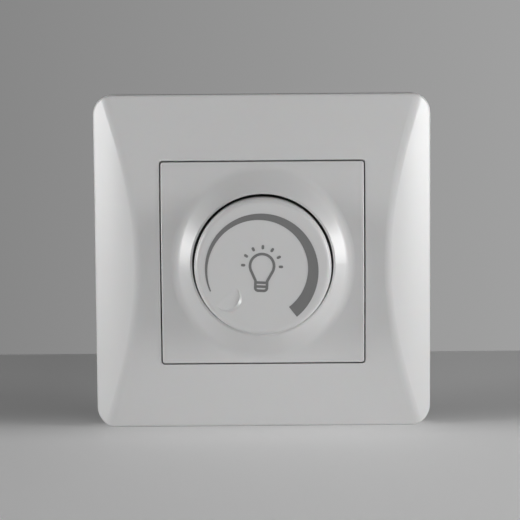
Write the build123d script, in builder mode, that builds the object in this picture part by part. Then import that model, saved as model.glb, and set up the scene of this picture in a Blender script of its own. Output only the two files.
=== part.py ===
from build123d import *
import os
from math import atan2, cos, degrees, radians, sin, tan

# Rotary wall dimmer on a flush mounting box.
# Origin: on the knob's axis, in the plane of the wall.
# +X is right, +Z is up, and the front of the dimmer looks along -Y.
# A depth is a distance in front of the wall. A rear distance is a distance behind it.
# All sizes are in millimetres.

os.makedirs("parts", exist_ok=True)

# Outer frame
FRAME_WIDTH = 82.4
FRAME_HEIGHT = 81.8
FRAME_CORNER = 4.8
FRAME_WALL = 2.0
DOME_RADIUS = 200.0
STOCK_ALLOWANCE = 1.0
DOME_DEPTH = 9.6
FLANK_RADIUS = 70.0
FLANK_CENTRE_X = 1.4
FLANK_PEAK_DEPTH = 15.9
FLANK_OVERSWEEP = 10.0
RIDGE_ROUNDING = 4.0
RIM_ROUNDING = 0.8
WINDOW_TUBE_CORNER = 2.0
WINDOW_SIDE = 49.95
WINDOW_CORNER = 0.8
WINDOW_WALL = 1.6
LEDGE_WIDTH = 1.6
LEDGE_BACK = 3.4
LEDGE_FRONT = 5.0
RIB_THICKNESS = 1.2
RIB_SPACING = 30.0
RIB_BACK = 2.2

# Centre plate
PLATE_SIDE = 49.25
PLATE_CORNER = 0.6
PLATE_PROUD = 0.3
PLATE_SKIN = 2.0
PLATE_EDGE_ROUNDING = 0.3
SKIRT_WALL = 1.5
COLLAR_HOLE_RADIUS = 17.1
COLLAR_LIP_RADIUS = 17.6
COLLAR_RIM_DEPTH = 12.4
COLLAR_SLOPE_DEGREES = 35.0
COLLAR_FOOT_ROUNDING = 4.0
COLLAR_ROOT_RADIUS = 23.6
WELL_WALL = 1.5
WELL_FLOOR_BACK = 5.6
WELL_FLOOR_FRONT = 7.6
FOOT_RELIEF = 1.3
BUSH_PLAY = 0.15

# Knob
KNOB_RADIUS = 16.45
KNOB_FACE_DEPTH = 18.0
KNOB_BACK_DEPTH = 8.4
KNOB_EDGE_ROUNDING = 1.3
KNOB_WALL = 2.0
HUB_RADIUS = 4.8
HUB_BACK_DEPTH = 10.9
DIMPLE_RADIUS = 3.2
DIMPLE_OFFSET = 11.3
DIMPLE_DEGREES = 219.0
DIMPLE_FALL_DIRECTION = -50.0
DIMPLE_FALL_DEGREES = 9.0
DIMPLE_WALL_TAPER = 47.0
DIMPLE_HEIGHT = 1.0
CLIP_RADIUS = 5.3
CLIP_LENGTH = 2.0
CLIP_SETBACK = 1.0
CLIP_GAP_DEGREES = 50.0

# Printed marks on the knob
PRINT_THICKNESS = 0.05
ARC_CENTRE_X = -0.76
ARC_CENTRE_Z = -0.75
ARC_RADIUS = 12.8
ARC_START_DEGREES = 203.0
ARC_END_DEGREES = -52.0
ARC_START_WIDTH = 0.3
ARC_END_WIDTH = 3.05
ARC_STEPS = 12
SYMBOL_TILT = -3.0
SYMBOL_CENTRE_X = -0.2
SYMBOL_CENTRE_Z = 0.25
GLASS_RADIUS = 2.87
GLASS_OPENING_DEGREES = 33.0
LINE_WIDTH = 0.64
NECK_HALF_WIDTH = 1.39
NECK_Z = -3.6
CAP_FOOT_Z = -5.95
CAP_FOOT_ROUNDING = 0.7
SHOULDER_ROUNDING = 2.0
CAP_BAR_Z = [-4.0, -4.95]
RAY_COUNT = 7
RAY_STEP_DEGREES = 30.0
RAY_MIDDLE_RADIUS = 4.52
RAY_LENGTH = 1.07

# Spindle, bush and their fasteners
SPINDLE_RADIUS = 3.0
SPINDLE_FRONT_DEPTH = 15.0
SPINDLE_REAR = 9.3
SPINDLE_FLAT_X = 1.5
SPINDLE_FLAT_LENGTH = 4.6
RUNNING_CLEARANCE = 0.04
BUSH_RADIUS = 4.8
BUSH_FRONT_DEPTH = 10.4
BUSH_FLANGE_RADIUS = 6.2
BUSH_FLANGE_THICKNESS = 0.6
THREAD_PITCH = 0.75
THREAD_GROOVE = 0.3
THREAD_CREST = 0.034
THREAD_OVERRUN = 0.05
NUT_FLATS = 13.0
NUT_CHAMFER_WIDTH = 0.5
NUT_CHAMFER_HEIGHT = 0.3
BUSH_NUT_THICKNESS = 2.2
LOCK_WASHER_RADIUS = 7.6
LOCK_WASHER_THICKNESS = 0.5
LOCK_WASHER_TEETH = 12
LOCK_WASHER_GAP_DEPTH = 1.4
LOCK_WASHER_GAP_WIDTH = 1.2
WASHER_PLAY = 0.1
PLATE_NUT_THICKNESS = 2.0
PLATE_WASHER_RADIUS = 8.6
PLATE_WASHER_THICKNESS = 0.5

# Support plate
SUPPORT_SIDE = 71.0
SUPPORT_CORNER = 6.0
SUPPORT_THICKNESS = 1.0
SUPPORT_CHAMFER = 0.25
SUPPORT_HOLE_PLAY = 0.2
BOX_SCREW_SPACING = 60.0
BOX_SLOT_WIDTH = 4.2
BOX_SLOT_LENGTH = 7.0
EAR_THICKNESS = 1.0
EAR_INNER_Z = 4.7
EAR_REACH = 4.2
EAR_WIDTH = 3.6

# Potentiometer and mains switch
CAN_RADIUS = 8.5
CAN_WALL = 0.5
CAN_REAR = 5.3
CAN_NOTCH_WIDTH = 12.4
CAN_NOTCH_HEIGHT = 5.4
CAN_NOTCH_Z = -8.0
TRACK_FRONT = 3.3
TRACK_THICKNESS = 1.0
CARRIER_PLAY = 0.05
CARRIER_TONGUE_WIDTH = 12.0
CARRIER_TONGUE_HEIGHT = 3.4
CARRIER_TONGUE_Z = -7.7
SPINDLE_FREE_RADIUS = 3.4
WIPER_RADIUS = 6.4
WIPER_FRONT = 1.4
WIPER_REAR = 2.4
BRUSH_WIDTH = 5.0
BRUSH_HEIGHT = 2.4
BRUSH_THICKNESS = 0.2
FINGER_COUNT = 3
FINGER_PITCH = 1.6
FINGER_WIDTH = 0.7
FINGER_REACH = 0.7
FINGER_THICKNESS = 0.5
FINGER_INSET = 1.0
SWITCH_WALL = 0.7
SWITCH_REAR = 10.3
SWITCH_CUP_WALL = 1.0
CONTACT_INNER_X = 5.5
CONTACT_OUTER_X = 10.7
CONTACT_REAR = 7.4
CONTACT_THICKNESS = 1.2
CONTACT_HEIGHT = 2.2
CONTACT_SLOT_LENGTH = 2.6
CONTACT_LEG_WIDTH = 1.6
CONTACT_LEG_THICKNESS = 0.6
CONTACT_LEG_X = CONTACT_OUTER_X - CONTACT_LEG_THICKNESS / 2
ROTOR_FRONT = 6.3
ROTOR_REAR = 8.6
ROTOR_RADIUS = 4.6
BLADE_THICKNESS = 0.5
BLADE_SETBACK = 0.5
TAG_WIDTH = 1.4
TAG_THICKNESS = 0.4
TAG_PITCH = 5.0
TAG_COUNT = 3
TAG_LENGTH = 1.2
TAG_END_Z = -9.4
TAG_LEG_Z = TAG_END_Z - TAG_THICKNESS / 2
LEG_STICK_OUT = 1.0
SLOT_PLAY = 0.2

# Claws at each side of the box
CLAW_SCREW_X = 24.9
CLAW_SCREW_RADIUS = 1.5
CLAW_SCREW_END = 18.5
CLAW_SCREW_HEAD_RADIUS = 2.8
CLAW_SCREW_HEAD_HEIGHT = 1.6
CLAW_SCREW_HEAD_ROUNDING = 0.5
CLAW_SCREW_DRIVE_DEPTH = 0.8
CLAW_SCREW_DRIVE_WIDTH = 0.8
SPREADER_WIDTH = 4.6
SPREADER_HEIGHT = 8.0
SPREADER_THICKNESS = 3.0
SPREADER_REST_REAR = 16.0
SPREADER_ROUNDING = 0.6
PIVOT_X = 29.0
PIVOT_REAR = 2.6
PIVOT_PIN_RADIUS = 0.75
KNUCKLE_RADIUS = 1.6
PIN_HEAD_THICKNESS = 0.4
PIN_HEAD_OVERHANG = 0.45
CLAW_SLOT_MIDDLE = 8.8
CLAW_SLOT_LENGTH = 9.0
CLAW_SLOT_WIDTH = 3.8
CLAW_HALF_HEIGHT = 4.4
# Corners of the claw strip and its two teeth: distance outward from the nut's edge, rear distance.
CLAW_OUTLINE = [
    (1.4, PIVOT_REAR),
    (-0.75, 6.6),
    (-0.75, 9.6),
    (0.25, 14.4),
    (0.25, 19.2),
    (2.6, 20.0),
    (1.45, 18.9),
    (2.4, 18.3),
    (1.35, 17.2),
    (1.35, 14.2),
    (0.3, 9.4),
    (0.3, 7.0),
    (2.2, PIVOT_REAR),
]

# Module housing and circuit board
HOUSING_HALF_WIDTH = 21.4
HOUSING_HALF_HEIGHT = 22.0
HOUSING_CORNER = 7.0
HOUSING_WALL = 1.8
HOUSING_REAR = 26.0
HOUSING_EDGE_ROUNDING = 1.2
CUT_OVERRUN = 1.0
BOSS_SPACING = 32.0
BOSS_RADIUS = 2.8
BOSS_WEB = 4.0
HOUSING_SCREW_RADIUS = 1.25
HOUSING_SCREW_HEAD_RADIUS = 2.5
HOUSING_SCREW_HEAD_HEIGHT = 1.5
HOUSING_SCREW_LENGTH = 8.0
HOUSING_SCREW_DRIVE_DEPTH = 0.8
HOUSING_SCREW_DRIVE_LENGTH = 2.6
HOUSING_SCREW_DRIVE_WIDTH = 0.7
BOARD_WIDTH = 38.6
BOARD_HEIGHT = 39.6
BOARD_FRONT = 11.5
BOARD_THICKNESS = 1.6
BOARD_REAR = BOARD_FRONT + BOARD_THICKNESS
VENT_COUNT = 5
VENT_PITCH = 3.2
VENT_WIDTH = 1.3
VENT_LENGTH = 9.0
REAR_VENT_Z = 15.5
TOP_VENT_REAR = 18.5

# Terminals
BLOCK_HALF_WIDTH = 11.7
BLOCK_TOP_Z = -12.2
BLOCK_FRONT = 13.5
BLOCK_OVERHANG = 0.4
BLOCK_SETBACK = 0.6
BLOCK_PLAY = 0.2
BLOCK_CHAMFER = 0.6
TERMINAL_COUNT = 3
TERMINAL_PITCH = 7.6
WIRE_HOLE_RADIUS = 1.75
WIRE_HOLE_REAR = 18.2
WIRE_HOLE_DEPTH = 4.0
CLAMP_SIDE = 5.0
CLAMP_LENGTH = 6.4
CLAMP_WALL = 0.6
CLAMP_PLAY = 0.1
CLAMP_OVERLAP = 1.0
TERMINAL_SCREW_RADIUS = 1.5
TERMINAL_SCREW_TIP = 20.1
TERMINAL_HEAD_RADIUS = 2.2
TERMINAL_HEAD_FRONT = 22.6
TERMINAL_HEAD_HEIGHT = 1.4
TERMINAL_DRIVE = 0.7

# Parts on the circuit board
TRIAC_Z = 14.4
TRIAC_HEIGHT = 9.8
TRIAC_LEAD_X = 10.4
TRIAC_LEAD_PITCH = 2.54
TRIAC_LEAD_COUNT = 3
TRIAC_LEAD_START_X = 7.0
TRIAC_LEAD_FRONT = 2.4
TRIAC_LEAD_STEP = 1.1
TRIAC_LEAD_WIDTH = 0.7
TRIAC_LEAD_THICKNESS = 0.5
TRIAC_LEAD_HOLE_RADIUS = 0.5
TRIAC_TAB_X = -0.4
TRIAC_TAB_LENGTH = 15.0
TRIAC_TAB_THICKNESS = 1.3
TRIAC_BODY_X = 2.5
TRIAC_BODY_LENGTH = 9.2
TRIAC_BODY_THICKNESS = 4.5
TRIAC_HOLE_X = -5.2
TRIAC_HOLE_RADIUS = 1.6
TRIAC_SCREW_RADIUS = 1.5
TRIAC_SCREW_END = 2.6
TRIAC_SCREW_HEAD_RADIUS = 2.7
TRIAC_SCREW_HEAD_HEIGHT = 1.6
TRIAC_SCREW_DRIVE = 0.7
TRIAC_NUT_CORNER_RADIUS = 2.9
TRIAC_NUT_THICKNESS = 2.0
INSULATOR_X = -0.3
INSULATOR_LENGTH = 16.4
INSULATOR_MARGIN = 0.8
INSULATOR_THICKNESS = 0.3
FUSE_Z = -14.6
FUSE_REAR = 7.6
FUSE_GLASS_RADIUS = 2.2
FUSE_CAP_RADIUS = 2.6
FUSE_LENGTH = 20.0
FUSE_CAP_LENGTH = 5.0
FUSE_CAP_END = 1.0
FUSE_GLASS_LENGTH = 18.0
FUSE_GLASS_WALL = 0.5
FUSE_CLIP_WIDTH = 3.4
FUSE_CLIP_THICKNESS = 0.5
FUSE_CLIP_RISE = 2.0
CORE_X = -9.0
CORE_Z = 8.0
CORE_REAR = 18.6
CORE_RADIUS = 7.0
CORE_HOLE_RADIUS = 3.6
CORE_THICKNESS = 5.0
CORE_ROUNDING = 0.6
WINDING_PLAY = 0.1
WIRE_THICKNESS = 0.7
TURN_COUNT = 18
# Each capacitor: length, height off the board, thickness, Z of its middle.
CAPACITORS = [(13.0, 9.2, 6.0, 10.6), (10.0, 6.8, 4.0, 3.2)]
CAPACITOR_X = 9.6
CAPACITOR_ROUNDING = 0.6
RESISTOR_X = 9.6
RESISTOR_Z = [-2.6, -5.4, -8.2]
RESISTOR_RADIUS = 1.2
RESISTOR_LENGTH = 6.4
RESISTOR_LEAD_RADIUS = 0.3
RESISTOR_SPAN = 10.4
RESISTOR_LIFT = 1.5
DIAC_X = -8.6
DIAC_Z = -6.6
DIAC_RADIUS = 0.95
DIAC_LENGTH = 4.0
DIAC_LEAD_RADIUS = 0.25
DIAC_SPAN = 9.0
DIAC_LIFT = 1.2

# Blank label
LABEL_WIDTH = 30.0
LABEL_HEIGHT = 17.0
LABEL_THICKNESS = 0.12
LABEL_Z = -1.0

wall = Plane.XZ
# In this plane x runs along X and y is a depth.
cross_section = Plane(origin=(0, 0, 0), x_dir=(1, 0, 0), z_dir=(0, 0, -1))
# In this plane x runs along Z and y is a depth.
side_section = Plane(origin=(0, 0, 0), x_dir=(0, 0, 1), z_dir=(1, 0, 0))


def save(builder, label):
    """Name the piece and write it to its own file."""
    builder.part.label = label
    export_step(builder.part, "parts/" + label + ".step")


def domed_block(inset, corner):
    """Solid with the frame's domed front and rounded flanks, drawn in by an inset."""
    with BuildPart() as block:
        with BuildSketch(wall):
            RectangleRounded(FRAME_WIDTH - 2 * inset, FRAME_HEIGHT - 2 * inset, corner)
        extrude(amount=2 * DOME_DEPTH)
        with BuildSketch(side_section):
            with Locations((0, DOME_DEPTH - inset - DOME_RADIUS)):
                Circle(DOME_RADIUS)
        extrude(amount=FRAME_WIDTH, both=True, mode=Mode.INTERSECT)
        reach = FLANK_RADIUS - inset
        sweep_angle = degrees(atan2(FRAME_WIDTH / 2 - FLANK_CENTRE_X, FLANK_RADIUS)) + FLANK_OVERSWEEP
        centre_depth = FLANK_PEAK_DEPTH - FLANK_RADIUS
        top = (FLANK_CENTRE_X, centre_depth + reach)
        middle = (
            FLANK_CENTRE_X + reach * sin(radians(sweep_angle / 2)),
            centre_depth + reach * cos(radians(sweep_angle / 2)),
        )
        low = (
            FLANK_CENTRE_X + reach * sin(radians(sweep_angle)),
            centre_depth + reach * cos(radians(sweep_angle)),
        )
        with BuildSketch(cross_section):
            with BuildLine():
                Polyline((0, -DOME_DEPTH), (low[0], -DOME_DEPTH), low)
                ThreePointArc(low, middle, top)
                Polyline(top, (0, top[1]), (0, -DOME_DEPTH))
            make_face()
            mirror(about=Plane.YZ)
        extrude(amount=FRAME_HEIGHT, both=True, mode=Mode.INTERSECT)
    return block.part


def make_outer_frame():
    """Snap-on surround: thin domed shell with a square window and an inner ledge."""
    with BuildPart() as skin:
        add(domed_block(0, FRAME_CORNER))
        ridges = skin.edges().filter_by(GeomType.BSPLINE).sort_by(SortBy.LENGTH)[-2:]
        fillet(ridges, RIDGE_ROUNDING)
        side_faces = skin.faces().filter_by(Axis.X)
        rim = side_faces.edges().filter_by(Axis.Z).sort_by(Axis.Y)[:2]
        fillet(rim, RIM_ROUNDING)
    with BuildPart() as window_tube:
        tube_side = WINDOW_SIDE + 2 * WINDOW_WALL
        with BuildSketch(wall.offset(LEDGE_BACK)):
            RectangleRounded(tube_side, tube_side, WINDOW_TUBE_CORNER)
        extrude(amount=DOME_DEPTH)
    with BuildPart() as ribs:
        with GridLocations(RIB_SPACING, 1, 2, 1):
            with Locations((0, -DOME_DEPTH / 2 - RIB_BACK, 0)):
                Box(RIB_THICKNESS, DOME_DEPTH, FRAME_HEIGHT - FRAME_WALL)
        with Locations((0, 0, -RIB_SPACING / 2), (0, 0, RIB_SPACING / 2)):
            with Locations((0, -DOME_DEPTH / 2 - RIB_BACK, 0)):
                Box(FRAME_WIDTH - FRAME_WALL, DOME_DEPTH, RIB_THICKNESS)
    with BuildPart() as hollow:
        add(domed_block(FRAME_WALL, FRAME_CORNER - FRAME_WALL))
        add(window_tube.part, mode=Mode.SUBTRACT)
        add(ribs.part, mode=Mode.SUBTRACT)
    with BuildPart() as frame:
        add(skin.part)
        add(hollow.part, mode=Mode.SUBTRACT)
        opening_side = WINDOW_SIDE - 2 * LEDGE_WIDTH
        with BuildSketch(wall):
            Rectangle(opening_side, opening_side)
        extrude(amount=2 * DOME_DEPTH, mode=Mode.SUBTRACT)
        with BuildSketch(wall.offset(LEDGE_FRONT)):
            RectangleRounded(WINDOW_SIDE, WINDOW_SIDE, WINDOW_CORNER)
        extrude(amount=2 * DOME_DEPTH, mode=Mode.SUBTRACT)
        with BuildSketch(wall):
            Rectangle(WINDOW_SIDE, WINDOW_SIDE)
        extrude(amount=LEDGE_BACK, mode=Mode.SUBTRACT)
    save(frame, "outer_frame")


def make_centre_plate():
    """Square insert that clamps the frame: domed skin, flared collar, knob well and skirt."""
    front = DOME_DEPTH + PLATE_PROUD
    core_depth = LEDGE_FRONT + STOCK_ALLOWANCE
    slope_run = COLLAR_ROOT_RADIUS - COLLAR_LIP_RADIUS
    root_depth = COLLAR_RIM_DEPTH - slope_run * tan(radians(COLLAR_SLOPE_DEGREES))
    with BuildPart() as plate:
        with BuildSketch(wall):
            RectangleRounded(PLATE_SIDE, PLATE_SIDE, PLATE_CORNER)
        extrude(amount=front + STOCK_ALLOWANCE)
        with BuildSketch(side_section):
            with Locations((0, front - DOME_RADIUS)):
                Circle(DOME_RADIUS)
        extrude(amount=PLATE_SIDE, both=True, mode=Mode.INTERSECT)
        with BuildSketch(wall):
            Rectangle(PLATE_SIDE, PLATE_SIDE)
        extrude(amount=LEDGE_FRONT, mode=Mode.SUBTRACT)
        outline = plate.edges().filter_by(lambda edge: edge.center().Y < -core_depth)
        outline = outline.filter_by(lambda edge: abs(edge.tangent_at(0.5).Y) < 0.9)
        fillet(outline, PLATE_EDGE_ROUNDING)
        with BuildSketch(cross_section):
            with BuildLine():
                Polyline(
                    (0, core_depth),
                    (0, COLLAR_RIM_DEPTH),
                    (COLLAR_LIP_RADIUS, COLLAR_RIM_DEPTH),
                    (COLLAR_ROOT_RADIUS, root_depth),
                    (COLLAR_ROOT_RADIUS, core_depth),
                    (0, core_depth),
                )
            make_face()
        revolve(axis=Axis.Y)
        foot = plate.edges().filter_by(
            lambda edge: edge.geom_type == GeomType.BSPLINE and edge.length > COLLAR_ROOT_RADIUS
        )
        fillet(foot, COLLAR_FOOT_ROUNDING)
        inner_side = PLATE_SIDE - 2 * SKIRT_WALL
        well_radius = COLLAR_HOLE_RADIUS + WELL_WALL
        with BuildSketch(wall.offset(LEDGE_FRONT)):
            Rectangle(inner_side, inner_side)
            Circle(well_radius, mode=Mode.SUBTRACT)
        extrude(amount=front - LEDGE_FRONT - PLATE_SKIN - FOOT_RELIEF, mode=Mode.SUBTRACT)
        with BuildSketch(wall.offset(WELL_FLOOR_FRONT)):
            Circle(COLLAR_HOLE_RADIUS)
        extrude(amount=DOME_DEPTH, mode=Mode.SUBTRACT)
        with BuildSketch(wall):
            Circle(well_radius)
        extrude(amount=WELL_FLOOR_BACK, mode=Mode.SUBTRACT)
        with BuildSketch(wall):
            Circle(BUSH_RADIUS + BUSH_PLAY)
        extrude(amount=DOME_DEPTH, mode=Mode.SUBTRACT)
    save(plate, "centre_plate")


def make_control_knob():
    """Hollow round knob with a flat face, a scooped finger dimple and a D-bored hub."""
    dimple_x = DIMPLE_OFFSET * cos(radians(DIMPLE_DEGREES))
    dimple_z = DIMPLE_OFFSET * sin(radians(DIMPLE_DEGREES))
    fall_x = cos(radians(DIMPLE_FALL_DIRECTION))
    fall_z = sin(radians(DIMPLE_FALL_DIRECTION))
    fall = radians(DIMPLE_FALL_DEGREES)
    dimple_floor = Plane(
        (dimple_x, -KNOB_FACE_DEPTH, dimple_z),
        x_dir=(-fall_z, 0, fall_x),
        z_dir=(sin(fall) * fall_x, -cos(fall), sin(fall) * fall_z),
    )
    with BuildPart() as knob:
        with BuildSketch(wall.offset(KNOB_BACK_DEPTH)):
            Circle(KNOB_RADIUS)
        extrude(amount=KNOB_FACE_DEPTH - KNOB_BACK_DEPTH)
        fillet(knob.faces().sort_by(Axis.Y)[0].edges(), KNOB_EDGE_ROUNDING)
        with BuildSketch(wall.offset(KNOB_BACK_DEPTH)):
            Circle(KNOB_RADIUS - KNOB_WALL)
        extrude(amount=KNOB_FACE_DEPTH - KNOB_BACK_DEPTH - KNOB_WALL, mode=Mode.SUBTRACT)
        with BuildSketch(wall.offset(HUB_BACK_DEPTH)):
            Circle(HUB_RADIUS)
        extrude(amount=KNOB_FACE_DEPTH - KNOB_WALL - HUB_BACK_DEPTH)
        with BuildSketch(wall.offset(HUB_BACK_DEPTH)):
            Circle(SPINDLE_RADIUS)
            with Locations((SPINDLE_FLAT_X + SPINDLE_RADIUS / 2, 0)):
                Rectangle(SPINDLE_RADIUS, 2 * SPINDLE_RADIUS, mode=Mode.SUBTRACT)
        extrude(amount=SPINDLE_FRONT_DEPTH - HUB_BACK_DEPTH, mode=Mode.SUBTRACT)
        with BuildSketch(dimple_floor):
            Circle(DIMPLE_RADIUS)
        extrude(amount=DIMPLE_HEIGHT, taper=-DIMPLE_WALL_TAPER, mode=Mode.SUBTRACT)
    save(knob, "control_knob")


def arc_point(share, side):
    """Point on one edge of the level arc: side is -1 for the inner edge and 1 for the outer."""
    angle = radians(ARC_START_DEGREES + share * (ARC_END_DEGREES - ARC_START_DEGREES))
    width = ARC_START_WIDTH + share * (ARC_END_WIDTH - ARC_START_WIDTH)
    radius = ARC_RADIUS + side * width / 2
    return (ARC_CENTRE_X + radius * cos(angle), ARC_CENTRE_Z + radius * sin(angle))


def make_level_arc():
    """Printed wedge-shaped arc that shows the light level growing clockwise."""
    inner = [arc_point(step / ARC_STEPS, -1) for step in range(ARC_STEPS + 1)]
    outer = [arc_point(step / ARC_STEPS, 1) for step in range(ARC_STEPS + 1)]
    with BuildPart() as print_layer:
        with BuildSketch(wall.offset(KNOB_FACE_DEPTH)):
            with BuildLine():
                Spline(*inner)
                Line(inner[-1], outer[-1])
                Spline(*outer)
                Line(inner[0], outer[0])
            make_face()
        extrude(amount=PRINT_THICKNESS)
    save(print_layer, "level_arc_print")


def make_bulb_symbol():
    """Printed light-bulb outline with short rays."""
    shoulder = radians(-GLASS_OPENING_DEGREES)
    side_x = GLASS_RADIUS * cos(shoulder)
    side_z = GLASS_RADIUS * sin(shoulder)
    tilt = radians(SYMBOL_TILT)
    centre = (SYMBOL_CENTRE_X, -KNOB_FACE_DEPTH, SYMBOL_CENTRE_Z)
    tilted_face = Plane(centre, x_dir=(cos(tilt), 0, sin(tilt)), z_dir=(0, -1, 0))
    with BuildSketch() as outline:
        with BuildLine():
            ThreePointArc((side_x, side_z), (0, GLASS_RADIUS), (-side_x, side_z))
            Polyline(
                (-side_x, side_z),
                (-NECK_HALF_WIDTH, NECK_Z),
                (-NECK_HALF_WIDTH, CAP_FOOT_Z),
                (NECK_HALF_WIDTH, CAP_FOOT_Z),
                (NECK_HALF_WIDTH, NECK_Z),
                (side_x, side_z),
            )
        make_face()
        fillet(outline.vertices().sort_by(Axis.Y)[:2], CAP_FOOT_ROUNDING)
        fillet(outline.vertices().sort_by(Axis.Y)[-2:], SHOULDER_ROUNDING)
    with BuildPart() as print_layer:
        with BuildSketch(tilted_face):
            offset(outline.sketch, amount=LINE_WIDTH / 2)
            offset(outline.sketch, amount=-LINE_WIDTH / 2, mode=Mode.SUBTRACT)
            with Locations([(0, bar) for bar in CAP_BAR_Z]):
                Rectangle(2 * NECK_HALF_WIDTH, LINE_WIDTH)
            with PolarLocations(
                RAY_MIDDLE_RADIUS,
                RAY_COUNT,
                start_angle=0,
                angular_range=RAY_STEP_DEGREES * (RAY_COUNT - 1),
                endpoint=True,
            ):
                SlotOverall(RAY_LENGTH, LINE_WIDTH)
        extrude(amount=PRINT_THICKNESS)
    save(print_layer, "bulb_symbol_print")


def make_knob_clip():
    """Open spring ring that squeezes the knob's hub on the spindle."""
    gap = 2 * CLIP_RADIUS * sin(radians(CLIP_GAP_DEGREES / 2))
    with BuildPart() as clip:
        with BuildSketch(wall.offset(HUB_BACK_DEPTH + CLIP_SETBACK)):
            Circle(CLIP_RADIUS)
            Circle(HUB_RADIUS, mode=Mode.SUBTRACT)
            with Locations((CLIP_RADIUS, 0)):
                Rectangle(CLIP_RADIUS, gap, mode=Mode.SUBTRACT)
        extrude(amount=CLIP_LENGTH)
    save(clip, "knob_spring_clip")


def make_spindle():
    """Round spindle with a flat for the knob, running back to the mains switch."""
    with BuildPart() as spindle:
        with BuildSketch(wall.offset(-SPINDLE_REAR)):
            Circle(SPINDLE_RADIUS)
        extrude(amount=SPINDLE_REAR + SPINDLE_FRONT_DEPTH)
        with BuildSketch(wall.offset(SPINDLE_FRONT_DEPTH - SPINDLE_FLAT_LENGTH)):
            with Locations((SPINDLE_FLAT_X + SPINDLE_RADIUS / 2, 0)):
                Rectangle(SPINDLE_RADIUS, 2 * SPINDLE_RADIUS)
        extrude(amount=SPINDLE_FLAT_LENGTH, mode=Mode.SUBTRACT)
    save(spindle, "spindle")


def make_wiper():
    """Disc that carries the wiper spring around the resistance track."""
    with BuildPart() as disc:
        with BuildSketch(wall.offset(-WIPER_REAR)):
            Circle(WIPER_RADIUS)
            Circle(SPINDLE_RADIUS, mode=Mode.SUBTRACT)
        extrude(amount=WIPER_REAR - WIPER_FRONT)
    save(disc, "wiper_disc")
    finger_rear = WIPER_REAR + (BRUSH_THICKNESS + FINGER_REACH) / 2
    with BuildPart() as brush:
        with Locations((0, WIPER_REAR + BRUSH_THICKNESS / 2, (WIPER_RADIUS + SPINDLE_RADIUS) / 2)):
            Box(BRUSH_WIDTH, BRUSH_THICKNESS, BRUSH_HEIGHT)
        with GridLocations(FINGER_PITCH, 1, FINGER_COUNT, 1):
            with Locations((0, finger_rear, WIPER_RADIUS - FINGER_INSET)):
                Box(FINGER_WIDTH, FINGER_REACH, FINGER_THICKNESS)
    save(brush, "wiper_brush")


def make_switch_rotor():
    """Rotor and its bridging blade for the mains switch at the end of the spindle."""
    with BuildPart() as rotor:
        with BuildSketch(wall.offset(-ROTOR_REAR)):
            Circle(ROTOR_RADIUS)
            Circle(SPINDLE_RADIUS, mode=Mode.SUBTRACT)
        extrude(amount=ROTOR_REAR - ROTOR_FRONT)
    save(rotor, "switch_rotor")
    with BuildPart() as blade:
        with BuildSketch(wall.offset(-ROTOR_REAR + BLADE_SETBACK)):
            Circle(ROTOR_RADIUS + BLADE_THICKNESS)
            Circle(ROTOR_RADIUS, mode=Mode.SUBTRACT)
            with Locations((0, -ROTOR_RADIUS)):
                Rectangle(4 * ROTOR_RADIUS, 2 * ROTOR_RADIUS, mode=Mode.SUBTRACT)
        extrude(amount=ROTOR_REAR - ROTOR_FRONT - 2 * BLADE_SETBACK)
    save(blade, "switch_blade")


def make_spindle_bush():
    """Threaded brass bush staked into the can, with the spindle's bearing bore."""
    groove_count = int((BUSH_FRONT_DEPTH - SUPPORT_THICKNESS) / THREAD_PITCH) - 1
    groove_radius = BUSH_RADIUS - THREAD_GROOVE
    groove_half = THREAD_PITCH / 2 - THREAD_CREST
    with BuildPart() as bush:
        with BuildSketch(wall.offset(-CAN_WALL)):
            Circle(BUSH_RADIUS)
        extrude(amount=BUSH_FRONT_DEPTH + CAN_WALL)
        with BuildSketch(wall.offset(-CAN_WALL - BUSH_FLANGE_THICKNESS)):
            Circle(BUSH_FLANGE_RADIUS)
        extrude(amount=BUSH_FLANGE_THICKNESS)
        with BuildSketch(cross_section):
            for groove in range(groove_count):
                centre = BUSH_FRONT_DEPTH - (groove + 1) * THREAD_PITCH
                with BuildLine():
                    Polyline(
                        (BUSH_RADIUS + THREAD_OVERRUN, centre - groove_half),
                        (groove_radius, centre),
                        (BUSH_RADIUS + THREAD_OVERRUN, centre + groove_half),
                        close=True,
                    )
                make_face()
        revolve(axis=Axis.Y, mode=Mode.SUBTRACT)
        with BuildSketch(wall.offset(-CAN_REAR)):
            Circle(SPINDLE_RADIUS + RUNNING_CLEARANCE)
        extrude(amount=CAN_REAR + 2 * BUSH_FRONT_DEPTH, mode=Mode.SUBTRACT)
    save(bush, "spindle_bush")


def make_nut(label, back_depth, thickness):
    """Thin hexagon nut on the bush, with chamfered corners."""
    corner_radius = NUT_FLATS / 2 / cos(radians(30))
    with BuildPart() as nut:
        with BuildSketch(wall.offset(back_depth)):
            RegularPolygon(corner_radius, 6)
        extrude(amount=thickness)
        with BuildSketch(cross_section):
            with BuildLine():
                Polyline(
                    (0, back_depth),
                    (corner_radius - NUT_CHAMFER_WIDTH, back_depth),
                    (corner_radius, back_depth + NUT_CHAMFER_HEIGHT),
                    (corner_radius, back_depth + thickness - NUT_CHAMFER_HEIGHT),
                    (corner_radius - NUT_CHAMFER_WIDTH, back_depth + thickness),
                    (0, back_depth + thickness),
                    close=True,
                )
            make_face()
        revolve(axis=Axis.Y, mode=Mode.INTERSECT)
        with BuildSketch(wall.offset(back_depth)):
            Circle(BUSH_RADIUS)
        extrude(amount=thickness, mode=Mode.SUBTRACT)
    save(nut, label)


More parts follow.
